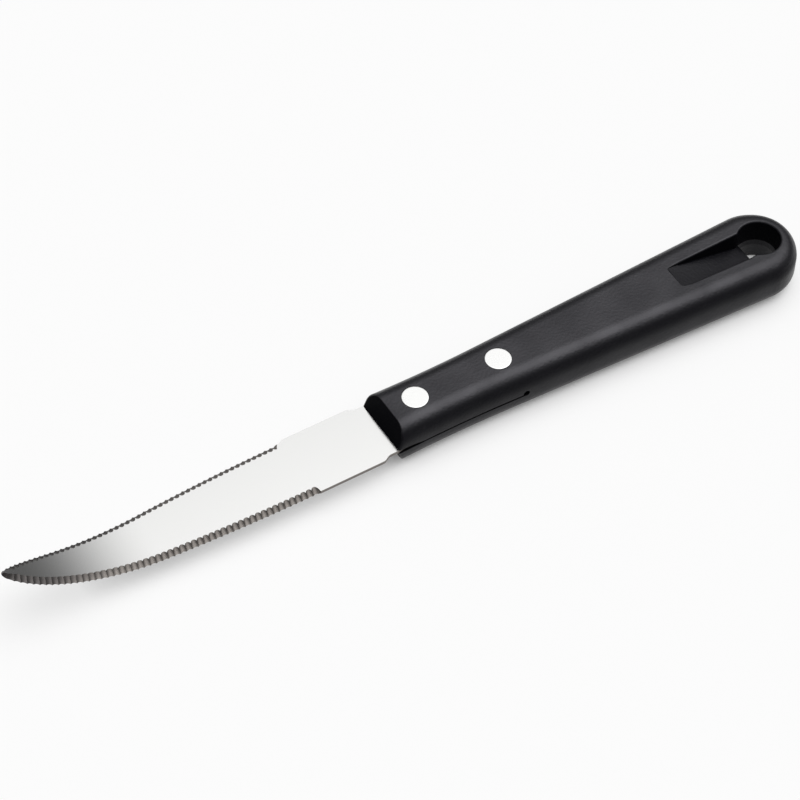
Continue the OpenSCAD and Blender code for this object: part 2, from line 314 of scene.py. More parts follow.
def moulded_black_plastic(name, base, cored):
    """Black polypropylene from a finely textured mould: satin sheen with a slight unevenness.
    Painted shade: the sheen is dulled on the upright sides and in cored places"""
    material, tree, place = new_material(name)
    # Mould texture with a grain of 0.7 mm, drawn coarser than the real one so that it can show,
    # and slow changes of gloss over 9 mm
    grain, flow = (node(tree, "ShaderNodeTexNoise", sockets={
        "Vector": place, "Scale": 1 / (size * MM), **GRAIN}).outputs["Fac"] for size in (0.7, 9))
    roughness = node(tree, "ShaderNodeMapRange", sockets={
        "Value": flow, **GRAIN_RANGE, "To Min": 0.33, "To Max": 0.40})
    bump = node(tree, "ShaderNodeBump", sockets={
        "Height": grain, "Strength": 0.8, "Distance": 0.07 * MM})
    # Cored places have an even, lower sheen: painted shade in the recess and the hole
    level = 0.45
    if not cored:
        sheen = node(tree, "ShaderNodeMapRange", sockets={
            "Value": flow, **GRAIN_RANGE, "To Min": 0.69, "To Max": 0.52})
        # Painted shade: the sheen is dulled on the upper half below its rounding, and less on the
        # lower half
        height = node(tree, "ShaderNodeSeparateXYZ", sockets={"Vector": place}).outputs["Z"]
        upper = node(tree, "ShaderNodeMapRange", {"interpolation_type": "SMOOTHSTEP"}, {
            "Value": height, "From Min": ORIGIN.z + 3.2 * MM, "From Max": ORIGIN.z + 4.9 * MM,
            "To Min": 0.25, "To Max": 1.0})
        lower = node(tree, "ShaderNodeMapRange", sockets={
            "Value": height, "From Min": ORIGIN.z + 1.5 * MM, "From Max": ORIGIN.z - 2 * MM,
            "To Min": 0.0, "To Max": 0.22})
        level = node(tree, "ShaderNodeMath", {"operation": "MULTIPLY_ADD"}, {
            0: sheen.outputs["Result"], 1: upper.outputs["Result"],
            2: lower.outputs["Result"]}).outputs["Value"]
    shader = node(tree, "ShaderNodeBsdfPrincipled", sockets={
        "Base Color": base, "IOR": PLASTIC_IOR, "Specular IOR Level": level,
        "Specular Tint": linear("#F9F7FF"),
        "Roughness": roughness.outputs["Result"], "Normal": bump.outputs["Normal"]})
    node(tree, "ShaderNodeOutputMaterial", sockets={"Surface": shader.outputs["BSDF"]})
    return material


def painted_shade_plastic(base):
    """The same plastic, pitted and almost without sheen: painted shade that keeps the upper walls
    of the recess and the hole and the front faces dark"""
    material, tree, place = new_material("painted_shade_plastic")
    # Pitted texture with a grain of 0.5 mm, drawn coarser than real pits so that it can show
    pits = node(tree, "ShaderNodeTexNoise", sockets={
        "Vector": place, "Scale": 1 / (0.5 * MM), **GRAIN}).outputs["Fac"]
    roughness = node(tree, "ShaderNodeMapRange", sockets={
        "Value": pits, **GRAIN_RANGE, "To Min": 0.6, "To Max": 0.75})
    bump = node(tree, "ShaderNodeBump", sockets={
        "Height": pits, "Strength": 0.15, "Distance": 0.03 * MM})
    # Painted shade: a specular level of 0.05 keeps these faces dark
    shader = node(tree, "ShaderNodeBsdfPrincipled", sockets={
        "Base Color": base, "IOR": PLASTIC_IOR, "Specular IOR Level": 0.05,
        "Roughness": roughness.outputs["Result"], "Normal": bump.outputs["Normal"]})
    node(tree, "ShaderNodeOutputMaterial", sockets={"Surface": shader.outputs["BSDF"]})
    return material


def plated_rivet_metal(base):
    """Nickel-plated brass, ground flush and buffed: bright, with fine buffing lines"""
    material, tree, place = new_material("plated_rivet_metal")
    # Buffing lines of 0.15 mm across and 4 mm along
    buffing = fine_lines(tree, place, (4, 0.15, 0.15), 2.0, 0.5, (0.2, 0.3), (0.03, 0.02))
    shader = node(tree, "ShaderNodeBsdfPrincipled", sockets={"Base Color": base, **buffing})
    node(tree, "ShaderNodeOutputMaterial", sockets={"Surface": shader.outputs["BSDF"]})
    return material


def bend_sheet(bm, columns, rows, place):
    """Adds a grid of points and bends it: place(column, row) gives each point's position"""
    made = bmesh.ops.create_grid(bm, x_segments=columns - 1, y_segments=rows - 1, size=1)
    for index, vert in enumerate(made["verts"]):
        vert.co = place(index % columns, index // columns)
    return made["verts"]


def merge(bm):
    """Joins the sheets of a mesh where they meet"""
    bmesh.ops.remove_doubles(bm, verts=bm.verts, dist=MERGE)
    bmesh.ops.dissolve_degenerate(bm, edges=bm.edges, dist=EQUAL)


def add_object(name, data):
    """Adds an object at the origin to the scene"""
    added = bpy.data.objects.new(name, data)
    bpy.context.scene.collection.objects.link(added)
    return added


def add_mesh(bm, name, materials):
    """Turns what was built into an object with its materials"""
    mesh = bpy.data.meshes.new(name)
    bm.to_mesh(mesh)
    bm.free()
    for material in materials:
        mesh.materials.append(material)
    return add_object(name, mesh)


def finish_piece(bm, name, materials, replaced, crease):
    merge(bm)
    bmesh.ops.recalc_face_normals(bm, faces=bm.faces)
    bmesh.ops.translate(bm, verts=bm.verts, vec=ORIGIN)
    if any(len(edge.link_faces) != 2 for edge in bm.edges):
        raise RuntimeError(f"{name} has open edges")
    piece = add_mesh(bm, name, materials)
    piece.data.shade_smooth()
    piece.data.set_sharp_from_angle(angle=crease)
    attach(piece, "root")
    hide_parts(replaced)


class BladeShape:
    """Places on the blade from a distance s along the steel, negative inside the handle"""

    # Sections of a scallop, of the shoulder and of the nose
    STEPS, SHOULDER_STEPS, NOSE_STEPS = 16, 12, 14
    # In pitches: the start and the lean of the border's arcs, and the start of the edge's notches
    BORDER_LEAD, BORDER_LEAN, TOOTH_LEAD = 0.155, 0.45, 0.26
    # Powers that shape the nose in plan and the border's arcs
    NOSE_POWER, ARC_POWER = 5, 0.7
    # The near border's swing calms down by this share along this length of the bend
    CALM_SHARE, CALM_RUN = 0.7, 25 * MM
    # The grind narrows where half the blade is less than this many bevels
    NARROW = 1.4
    # The neck narrows to the tang over this length inside the handle
    ENTRY = 2 * MM

    def __init__(self, size):
        self.size = size
        self.half = size.thickness / 2
        self.moon = self.BORDER_LEAD + self.BORDER_LEAN
        room = (size.reach - size.nose_plain - size.heel_length) / size.pitch
        self.scallops = int(room - self.TOOTH_LEAD)
        self.last_scallop = size.heel_length + (self.scallops + self.TOOTH_LEAD) * size.pitch
        self.near_run = self.moon * size.pitch
        self.far_run = self.near_run + size.pitch
        # The last section stops short of the point, where the width comes to nothing
        self.tip = size.reach - 0.01 * MM

    def at(self, s, y, height):
        """Point at s, sideways y and a height over the middle of the sheet"""
        start, radius = self.size.bend_start, self.size.bend_radius
        turn = max(0, s - start) / radius
        along = min(s, start) + radius * sin(turn)
        climb = radius * (1 - cos(turn))
        return Vector((height * sin(turn) - along, y, climb + height * cos(turn)))

    def edge_half(self, s):
        """Half width over the cutting edges, without their notches"""
        size = self.size
        half = size.edge_width / 2 - max(0, s - size.heel_length) ** 2 / (2 * size.edge_radius)
        if s > size.nose_start:
            part = (s - size.nose_start) / (size.reach - size.nose_start)
            half *= sqrt(1 - part ** self.NOSE_POWER)
        return half

    def part_of_pitch(self, s, lead):
        """How far s lies into its pitch; a hair before the end counts as the next one's start"""
        u = (s - self.size.heel_length) / self.size.pitch - lead
        return u - (u + 0.0001) // 1

    def edge_scallop(self, s):
        """Share of a notch's depth in the cutting edge"""
        if s >= self.last_scallop:
            return 0
        return 1 - (2 * self.part_of_pitch(s, self.TOOTH_LEAD) - 1) ** 2

    def border_scallop(self, s):
        """Share of an arc's height in the bevel's border"""
        if s >= self.last_scallop or s <= self.size.heel_length + self.near_run:
            return 1
        part = self.part_of_pitch(s, self.BORDER_LEAD) - self.BORDER_LEAN
        part /= self.BORDER_LEAN if part < 0 else 1 - self.BORDER_LEAN
        return max(0, 1 - part * part) ** self.ARC_POWER

    def plain_half(self, s):
        """Half width of the heel, the shoulder, the neck and the tang"""
        size = self.size
        if s < -size.tang_straight:
            part = (-s - size.tang_straight) / (size.tang_length - size.tang_straight)
            return blend(size.tang_width, size.tang_end_width, part) / 2
        if s < 0:
            return blend(size.neck_width, size.tang_width, min(1, -s / self.ENTRY)) / 2
        part = clamp((s - size.neck) / size.shoulder)
        return blend(size.neck_width, size.heel_width, part * part * (3 - 2 * part)) / 2

    def halves(self, s, ground, side):
        """Half widths of the cutting edge below and of the bevel's border above"""
        size = self.size
        plain = self.plain_half(s)
        if ground == 0:
            return plain, plain
        edge = self.edge_half(s)
        shrink = min(1, edge / (self.NARROW * size.bevel_width))
        cut = edge - size.scallop_depth * self.edge_scallop(s) * shrink
        calm = 1
        if side < 0:
            calm -= self.CALM_SHARE * clamp((s - size.bend_start) / self.CALM_RUN)
        swing = size.bevel_swing * calm * (1 - self.border_scallop(s))
        border = edge - (size.bevel_width - swing) * shrink
        return blend(plain, cut, ground), blend(plain, border, ground)

    def stations(self):
        """Distances of the cross sections: on the upper and on the lower face"""
        size = self.size
        plain = [-size.tang_length, -size.tang_straight, -12 * MM, -self.ENTRY, 0]
        plain += [size.neck + size.shoulder * part for part in shares(self.SHOULDER_STEPS)]
        plain += [size.heel_length - apart * MM for apart in (12, 8, 3)]
        found = [(s, s) for s in plain]
        # Each flute runs slantwise from the border's arc to the notch in the cutting edge
        pitches = [(self.moon * part, (self.TOOTH_LEAD + 0.5) * part)
                   for part in shares(self.STEPS)[:-1]]
        for i in range(self.STEPS // 2, self.scallops * self.STEPS + 1):
            whole, part = divmod(i / self.STEPS, 1)
            leaned = part * 2 * self.BORDER_LEAN
            if part > 0.5:
                leaned = self.BORDER_LEAN + (part - 0.5) * 2 * (1 - self.BORDER_LEAN)
            pitches.append((whole + self.BORDER_LEAD + leaned, whole + self.TOOTH_LEAD + part))
        found += [tuple(size.heel_length + size.pitch * u for u in pair) for pair in pitches]
        last = found[-1]
        for turn in quarter(self.NOSE_STEPS)[1:]:
            found.append(tuple(blend(s, self.tip, sin(turn)) for s in last))
        return found


def build_blade(settings):
    """The bent sheet with its ground scallops as one closed grid"""
    shape = BladeShape(settings)
    bevel_rows, flat_rows = 4, 6

    def ground(s, run, round_start):
        """Share of the full grind, which starts round on the near edge and slowly on the far one"""
        part = clamp((s - settings.heel_length) / run)
        if round_start:
            return sqrt(part * (2 - part))
        return (part + 1 - sqrt(1 - part * part)) / 2

    def section(upper, lower):
        """Points round the blade: near bevel, upper face, far bevel, lower face"""
        corners = []
        for side, run in ((-1, shape.near_run), (1, shape.far_run)):
            cut = shape.halves(lower, ground(lower, run, side < 0), side)[0]
            border = shape.halves(upper, ground(upper, run, side < 0), side)[1]
            corners += [shape.at(lower, side * cut, -shape.half),
                        shape.at(upper, side * border, shape.half)]
        near_cut, near_border, far_cut, far_border = corners
        hollow = settings.hollow * ground(lower, shape.far_run, False)
        ring = [near_cut, near_border, far_border, far_cut, near_cut]
        faces = [(bevel_rows, hollow), (flat_rows, 0)] * 2
        line = []
        for start, end, (rows, sink) in zip(ring, ring[1:], faces):
            for part in shares(rows)[:-1]:
                line.append(start.lerp(end, part) - Vector((0, 0, sink * 4 * part * (1 - part))))
        return line + line[:1]

    sections = [section(*pair) for pair in shape.stations()]
    columns = len(sections)
    bm = bmesh.new()
    verts = bend_sheet(bm, columns, len(sections[0]), lambda column, row: sections[column][row])
    row_of = {vert: index // columns for index, vert in enumerate(verts)}
    for face in bm.faces:
        row = min(row_of[vert] for vert in face.verts)
        face.material_index = int(row % (bevel_rows + flat_rows) < bevel_rows)
    bmesh.ops.remove_doubles(bm, verts=bm.verts, dist=SEAM)
    bmesh.ops.holes_fill(bm, edges=[edge for edge in bm.edges if edge.is_boundary], sides=0)
    return bm


class HandleShape:
    """Plan lines and heights of the moulded handle"""

    # Steps of the front's rounding, the sides, half the butt, the recess, the web and half the hole
    FRONT_STEPS, SIDE_STEPS, BUTT_STEPS = 5, 30, 32
    RECESS_STEPS, WEB_STEPS, HOLE_STEPS = 23, 6, 28
    # Where the slot's upper lip begins and where it thins, and over what lengths
    LIP_START, LIP_RUN, REAR_START, REAR_RUN = 3 * MM, 4 * MM, 21 * MM, 5 * MM
    # Radius of the corners at the recess's start, and the flat strip kept round the hole's rim
    CORNER, STRIP = 0.7 * MM, 0.1 * MM
    # Lengths over which the recess's rim grows, its near reach and its floor's fillet fade out at
    # the web, and the hole's draft grows behind the web
    RIM_RUN, REACH_RUN, FILLET_RUN, DRAFT_RUN = 3 * MM, 3 * MM, 4 * MM, 1.5 * MM
    # Most of a shallow recess's depth that its rim and its fillet may take up
    RIM_SHARE, FILLET_SHARE = 0.8, 0.2
    # The upper recess's walls take the painted-shade plastic from this far behind its start
    SHADE_START = 4 * MM

    def __init__(self, size):
        self.size = size
        taper = size.side_taper
        self.taper_x = size.waist_position + size.waist_radius * sin(taper)
        self.taper_y = size.waist_width / 2 + size.waist_radius * (1 - cos(taper))
        reach = self.taper_y * cos(taper) + (HANDLE_LENGTH - self.taper_x) * sin(taper)
        self.butt_radius = reach / (1 + sin(taper))
        self.butt_x = HANDLE_LENGTH - self.butt_radius
        self.hole_x = HANDLE_LENGTH - size.hole_setback
        self.hole = Vector((self.hole_x, 0))
        self.hole_radius = size.hole_diameter / 2
        half = size.recess_hole_width / 2
        self.meet_x = self.hole_x - sqrt(self.hole_radius ** 2 - half ** 2)
        self.recess_x = self.hole_x - size.recess_length
        self.web_edge = self.hole_x - size.web_setback
        self.web_radius = size.web_thickness / 2
        self.web_x = self.web_edge - self.web_radius
        run = self.web_x - self.recess_x
        self.floor_angle = (atan2(HALF_HANDLE, run)
                            - asin(self.web_radius / hypot(run, HALF_HANDLE)))
        self.floor_end = self.web_x + self.web_radius * sin(self.floor_angle)

    def half_width(self, x):
        """Half width in plan, in front of the butt's round"""
        size = self.size
        if x < self.taper_x:
            part = (x - size.waist_position) / size.waist_radius
            return size.waist_width / 2 + size.waist_radius * (1 - sqrt(1 - part * part))
        return self.taper_y + (x - self.taper_x) * tan(size.side_taper)

    def side_normal(self, x):
        """Outward direction of the far side"""
        size = self.size
        turn = min(size.side_taper, asin((x - size.waist_position) / size.waist_radius))
        return Vector((-sin(turn), cos(turn)))

    def side_line(self):
        """Points and outward directions in plan, from the far front round to the near front"""
        size = self.size
        relief = size.slot_relief / 2
        # Stations 1.8 mm apart along the slot, close ones round its relief and even ones behind it
        xs = [0] * (self.FRONT_STEPS + 1) + [i * 1.8 * MM for i in range(2, 19)]
        xs.append(size.slot_end - 1.1 * relief)
        xs += [size.slot_end + relief * sin(radians(t)) for t in range(-75, 91, 15)]
        last = self.butt_x - self.butt_radius * sin(size.side_taper)
        first = size.slot_end + 2 * relief
        xs += [blend(first, last, part) for part in shares(self.SIDE_STEPS)]
        far = [(Vector((x, self.half_width(x))), self.side_normal(x)) for x in xs]
        sweep = pi / 2 + size.side_taper
        for part in shares(self.BUTT_STEPS)[1:]:
            out = heading(sweep * (1 - part))
            far.append((Vector((self.butt_x, 0)) + out * self.butt_radius, out))
        near = [(Vector((p.x, -p.y)), Vector((n.x, -n.y))) for p, n in reversed(far[:-1])]
        return far + near

    def side_reach(self, point, out):
        """How far the side's rounding reaches in: less at the butt, close to the hole's rim"""
        rim = self.hole_radius + self.size.rim_radius + self.STRIP
        apart = point - self.hole
        along = apart.dot(out)
        chord = rim * rim - apart.dot(apart) + along * along
        if point.x < self.hole_x or chord < 0:
            return self.size.side_radius
        return min(self.size.side_radius, along - sqrt(chord))

    def slot_height(self, x, face):
        """Height of a half's slot face, with its round relief, over the middle plane"""
        relief = self.size.slot_relief / 2
        apart = x - self.size.slot_end
        if apart >= relief - EQUAL:
            return 0
        bow = sqrt(relief * relief - apart * apart) if apart > -relief else face
        return max(bow, face) if apart < 0 else bow

    def slot_lip(self, x, face, side):
        """Height of a half's slot at the handle's side: a thin upper lip closes in over the tang"""
        if side > 0:
            front = clamp((x - self.LIP_START) / self.LIP_RUN)
            rear = clamp((x - self.REAR_START) / self.REAR_RUN)
            lip = blend(self.size.slot_lip, self.size.slot_rear_lip, rear)
            face = blend(face, -lip, front)
        return self.slot_height(x, face)

    def floor_height(self, x):
        """Height of the recess floor, which runs into the web's rounded edge"""
        if x >= self.web_edge - EQUAL:
            return 0
        if x > self.floor_end:
            return sqrt(max(0, self.web_radius ** 2 - (x - self.web_x) ** 2))
        return HALF_HANDLE - (x - self.recess_x) * tan(self.floor_angle)

    def opening_line(self):
        """Points and outward directions round the recess and the hole: far side, from the start"""
        size = self.size
        start, finish = size.recess_start_width / 2, size.recess_hole_width / 2
        corner = self.CORNER
        line = [(Vector((self.recess_x, start * part)), Vector((-1, 0))) for part in (0, 0.4)]
        for degrees in (180, 157.5, 135, 112.5, 90):
            out = heading(radians(degrees))
            line.append((Vector((self.recess_x + corner, start - corner)) + out * corner, out))
        slope = (finish - start) / (self.web_edge - self.recess_x)
        out = Vector((-slope, 1)).normalized()
        # Even stations that stop short of the corner and of the hole
        first = self.recess_x + corner + 1 * MM
        last = self.meet_x - 0.3 * MM
        for part in shares(self.RECESS_STEPS):
            x = blend(first, last, part)
            line.append((Vector((x, start + (x - self.recess_x) * slope)), out))
        round_out = Vector((self.meet_x - self.hole_x, finish)).normalized()
        line.append((Vector((self.meet_x, finish)), (out + round_out).normalized()))
        for part in shares(self.WEB_STEPS)[1:]:
            line.append(self.on_hole(blend(self.meet_x, self.floor_end, part)))
        for part in shares(self.WEB_STEPS)[1:]:
            turn = blend(self.floor_angle, pi / 2, part)
            line.append(self.on_hole(self.web_x + self.web_radius * sin(turn)))
        left = acos((self.web_edge - self.hole_x) / self.hole_radius)
        for part in shares(self.HOLE_STEPS)[1:]:
            out = heading(left * (1 - part))
            line.append((self.hole + out * self.hole_radius, out))
        return line

    def near_shift(self, x):
        """How much further the recess reaches on the near side, fading out at the hole"""
        return self.size.recess_shift * clamp((self.web_edge - x) / self.REACH_RUN)

    def on_hole(self, x):
        """Point on the hole's far side and its outward direction"""
        out = Vector((x - self.hole_x, sqrt(self.hole_radius ** 2 - (x - self.hole_x) ** 2)))
        return self.hole + out, out.normalized()


def add_handle_half(bm, shape, rivets, side):
    """Adds the half of the handle over (side 1) or under (side -1) the middle plane"""
    size = shape.size
    # Thin rows beside the roundings keep the flat faces flat in shading
    support = 0.02 * MM
    round_steps = 14
    # The front edge's rounding at the flat face, as a share of that at the sides
    flat_share = 0.25
    # Thickness of the slot's lip, as a share of the front face's side strip
    lip_share = 0.05
    across_lines = 6
    slot_face = size.slot_top if side > 0 else size.slot_bottom
    line = shape.side_line()

    def surface(verts, slot):
        """Gives the faces at these points another of the handle's materials"""
        for face in {face for vert in verts for face in vert.link_faces}:
            face.material_index = slot

    # Rings from the flat face over the rounded side to the middle plane: inset, height and slope
    rings = [(size.side_radius + support, HALF_HANDLE, 0)]
    for turn in quarter(round_steps):
        rings.append((size.side_radius * (1 - sin(turn)),
                      HALF_HANDLE - size.side_radius * (1 - cos(turn)), turn))
    rings += [(0, height * MM, pi / 2) for height in (1.1, 0.6, 0)]
    front = Vector((-cos(size.front_lean), 0, sin(size.front_lean)))
    front_steps = shape.FRONT_STEPS

    def front_edge_point(sign, step, row):
        """Rounds the front edge: from the front face (step 0) to the side or the flat face"""
        inset, height, turn = rings[row]
        if height < slot_face:
            inset, height = 0, slot_face
        x = height * tan(size.front_lean)
        out = shape.side_normal(x)
        outward = Vector((out.x * sin(turn), out.y * sin(turn), cos(turn)))
        edge = Vector((x, shape.half_width(x) - out.y * inset, height))
        radius = size.front_edge * blend(flat_share, 1, sin(turn) ** 2)
        middle = edge - (front + outward) * radius / (1 + front.dot(outward))
        place = middle + front.slerp(outward, step / front_steps) * radius
        return Vector((place.x, sign * place.y, side * max(place.z, slot_face)))

    def side_point(column, row):
        """Point of the sides: the front edges, then the rings along the plan"""
        if column <= front_steps:
            return front_edge_point(1, column, row)
        if column >= len(line) - 1 - front_steps:
            return front_edge_point(-1, len(line) - 1 - column, row)
        point, out = line[column]
        inset, height = rings[row][:2]
        lip = shape.slot_lip(point.x, slot_face, side)
        if height < lip or (row == len(rings) - 1 and lip < 0):
            inset, height = 0, lip
        place = point - out * inset * shape.side_reach(point, out) / size.side_radius
        return Vector((place.x, place.y, side * height))

    bend_sheet(bm, len(line), len(rings), side_point)

    # Front face, its upper edge and the slot, with lines where the flat's support and the lips end
    inner = abs(side_point(0, 0).y)

    def across(edge, column):
        """Sideways place of a line across the front face or the slot"""
        lip = edge.y - (lip_share * (edge.y - inner) if edge.y > inner + 2 * support else 0)
        return (edge.y, lip, inner, -inner, -lip, -edge.y)[column]

    def front_point(column, row):
        edge = side_point(0, row + 1)
        return Vector((edge.x, across(edge, column), edge.z))

    def upper_edge_point(column, row):
        edge = side_point(row, 0)
        return Vector((edge.x, (edge.y, -edge.y)[column], edge.z))

    # Painted shade: the front face takes the dark painted-shade plastic
    surface(bend_sheet(bm, across_lines, len(rings) - 1, front_point), PAINTED_SHADE)
    bend_sheet(bm, 2, front_steps + 1, upper_edge_point)
    slot_end = size.slot_end + size.slot_relief / 2 + EQUAL
    slot_rows = sum(point.y > 0 and point.x <= slot_end for point, out in line)

    def slot_point(column, row):
        edge = side_point(row, len(rings) - 1)
        height = edge.z
        if 0 < column < across_lines - 1 and row > front_steps:
            height = side * shape.slot_height(edge.x, slot_face)
        return Vector((edge.x, across(edge, column), height))

    bend_sheet(bm, across_lines, slot_rows, slot_point)

    # Recess and hang hole: rounded rim, wall, fillet and floor
    far = shape.opening_line()
    near = [(Vector((p.x, -p.y - shape.near_shift(p.x))), Vector((n.x, -n.y)))
            for p, n in reversed(far[1:-1])]
    opening = far + near + far[:1]
    rim_steps, fillet_steps = 6, 6
    wall_rows = rim_steps + fillet_steps + 2

    def opening_point(column, row):
        point, out = opening[column]
        floor = shape.floor_height(point.x)
        depth = HALF_HANDLE - floor
        rim = size.rim_radius * min(1, (point.x - shape.recess_x) / shape.RIM_RUN)
        # Where the recess is shallow, the rim is only the start of its arc
        steep = acos(max(0, 1 - shape.RIM_SHARE * depth / max(rim, support)))
        if row == 0:
            place, height = point + out * (rim + support), HALF_HANDLE
        elif row <= rim_steps + 1:
            turn = steep * (row - 1) / rim_steps
            place = point + out * rim * (1 - sin(turn))
            height = HALF_HANDLE - rim * (1 - cos(turn))
        elif point.x >= shape.web_edge - EQUAL:
            # The hole narrows to the middle plane, where the lower half stands in by a small ledge
            part = min(1, (row - rim_steps - 1) / (wall_rows - 2 - rim_steps))
            ramp = min(1, (point.x - shape.web_edge) / shape.DRAFT_RUN)
            ledge = size.hole_ledge * part if side < 0 and row < wall_rows else 0
            place = point - out * ramp * (size.hole_draft * part + ledge)
            height = (HALF_HANDLE - rim) * (1 - part)
            if side < 0 and row == wall_rows - 1:
                height = size.ledge_height
        else:
            near_web = clamp((shape.web_edge - point.x) / shape.FILLET_RUN)
            fillet = min(size.floor_fillet * near_web, shape.FILLET_SHARE * depth)
            turn = pi / 2 * (row - rim_steps - 2) / fillet_steps
            edge = point + out * rim * (1 - sin(steep))
            place = edge - out * fillet * (1 - cos(turn))
            height = floor + fillet * (1 - sin(turn))
        return Vector((place.x, place.y, side * height))

    opened = bend_sheet(bm, len(opening), wall_rows + 1, opening_point)
    walls = opened[(rim_steps + 1) * len(opening):]
    # Painted shade: the walls take the cored plastic's duller sheen, and the upper walls behind the
    # recess's start the painted-shade plastic
    surface(walls, CORED)
    shade_x = shape.recess_x + shape.SHADE_START
    surface([vert for vert in walls if side > 0 and vert.co.x > shade_x], PAINTED_SHADE)
    floor_rows = sum(point.x <= shape.web_edge + EQUAL for point, out in far)

    def floor_point(column, row):
        return opening_point((row, len(opening) - 1 - row)[column], wall_rows)

    # Painted shade: the floor takes the cored plastic's duller sheen
    surface(bend_sheet(bm, 2, floor_rows, floor_point), CORED)

    # Seats of the rivet heads
    seat = rivets.head_diameter / 2 + rivets.head_clearance
    for middle in (rivets.front, rivets.rear):
        def seat_point(column, row):
            turn = 2 * pi * column / ROUND_STEPS
            return Vector((middle + seat * cos(turn), seat * sin(turn),
                           side * (HALF_HANDLE - rivets.head_thickness * row)))
        bend_sheet(bm, ROUND_STEPS + 1, 2, seat_point)


def build_handle(settings, rivets):
    """Both halves of the handle, joined at the parting line, with their flat faces filled"""
    shape = HandleShape(settings)
    bm = bmesh.new()
    for side in (1, -1):
        add_handle_half(bm, shape, rivets, side)
    merge(bm)
    loose = [edge for edge in bm.edges if not edge.link_faces]
    bmesh.ops.delete(bm, geom=loose, context="EDGES")

    def rim_edges(height):
        return [edge for edge in bm.edges
                if edge.is_boundary and all(abs(v.co.z - height) < EQUAL for v in edge.verts)]

    for side in (1, -1):
        seats = rim_edges(side * (HALF_HANDLE - rivets.head_thickness))
        bmesh.ops.holes_fill(bm, edges=seats, sides=0)
        flat = rim_edges(side * HALF_HANDLE)
        bmesh.ops.triangle_fill(bm, use_beauty=True, edges=flat, normal=(0, 0, side))
    return bm


def turned_piece(outline):
    """Spins a closed outline of radius and height round the rivet's axis"""
    bm = bmesh.new()
    verts = [bm.verts.new((radius, 0, height)) for radius, height in outline]
    edges = [bm.edges.new((verts[i], verts[i + 1])) for i in range(len(verts) - 1)]
    bmesh.ops.spin(bm, geom=verts + edges, cent=(0, 0, 0), axis=(0, 0, 1), angle=2 * pi,
                   steps=ROUND_STEPS, use_merge=True)
    return bm


def head_outline(settings):
    """Flush head with a rounded rim, from the middle of its face to its underside"""
    radius = settings.head_diameter / 2
    edge = settings.head_edge
    edge_steps = 4
    # Two rings keep the face flat in shading
    outline = [(0, HALF_HANDLE), (radius * 0.6, HALF_HANDLE), (radius - 0.3 * MM, HALF_HANDLE)]
    for turn in quarter(edge_steps):
        outline.append((radius - edge + edge * sin(turn),
                        HALF_HANDLE - edge + edge * cos(turn)))
    outline.append((radius, HALF_HANDLE - settings.head_thickness))
    return outline


class KNIFE_OT_blade(bpy.types.Operator):
    """Builds the bent, scalloped blade with its tang"""
    bl_idname = "knife.blade"
    bl_label = "Blade"

    def execute(self, context):
        settings = context.scene.knife_blade
        bm = build_blade(settings)
        finishes = [polished_stainless_sheet(settings.sheet_colour),
                    ground_stainless_bevel(settings.ground_colour, settings.far_bevel_shade_colour,
                                           settings.tip_bevel_shade_colour)]
        finish_piece(bm, "scalloped_blade", finishes, "blade", GROUND_CREASE)
        return {"FINISHED"}


class KNIFE_OT_handle(bpy.types.Operator):
    """Builds the moulded handle with its slot, rivet seats, recesses and hang hole"""
    bl_idname = "knife.handle"
    bl_label = "Handle"

    def execute(self, context):
        settings = context.scene.knife_handle
        bm = build_handle(settings, context.scene.knife_rivets)
        # The second and the third plastics are duller: painted shade on the front faces, in the
        # recess and in the hole
        finishes = [moulded_black_plastic("moulded_black_plastic", settings.plastic_colour, False),
                    painted_shade_plastic(settings.plastic_colour),
                    moulded_black_plastic("cored_black_plastic", settings.plastic_colour, True)]
        finish_piece(bm, "moulded_handle", finishes, "handle", MOULDED_CREASE)
        return {"FINISHED"}


class KNIFE_OT_rivets(bpy.types.Operator):
    """Builds the two posts and the two tubular sockets of the rivets"""
    bl_idname = "knife.rivets"
    bl_label = "Rivets"

    def execute(self, context):
        settings = context.scene.knife_rivets
        finish = plated_rivet_metal(settings.metal_colour)
        seat = HALF_HANDLE - settings.head_thickness
        shank, post = settings.shank_diameter / 2, settings.post_diameter / 2
        bore = post + settings.post_clearance
        end = settings.end_gap - seat
        post_outline = head_outline(settings) + [(post, seat), (post, end), (0, end)]
        socket_outline = head_outline(settings) + [(shank, seat), (shank, end), (bore, end),
                                                   (bore, seat), (0, seat)]
        for place, middle in (("front", settings.front), ("rear", settings.rear)):
            for kind, outline in (("post", post_outline), ("socket", socket_outline)):
                bm = turned_piece(outline)
                if kind == "socket":
                    bmesh.ops.scale(bm, verts=bm.verts, vec=(1, 1, -1))
                bmesh.ops.translate(bm, verts=bm.verts, vec=(middle, 0, 0))
                finish_piece(bm, f"{place}_rivet_{kind}", [finish], f"{place}_{kind}",
                             MOULDED_CREASE)
        return {"FINISHED"}


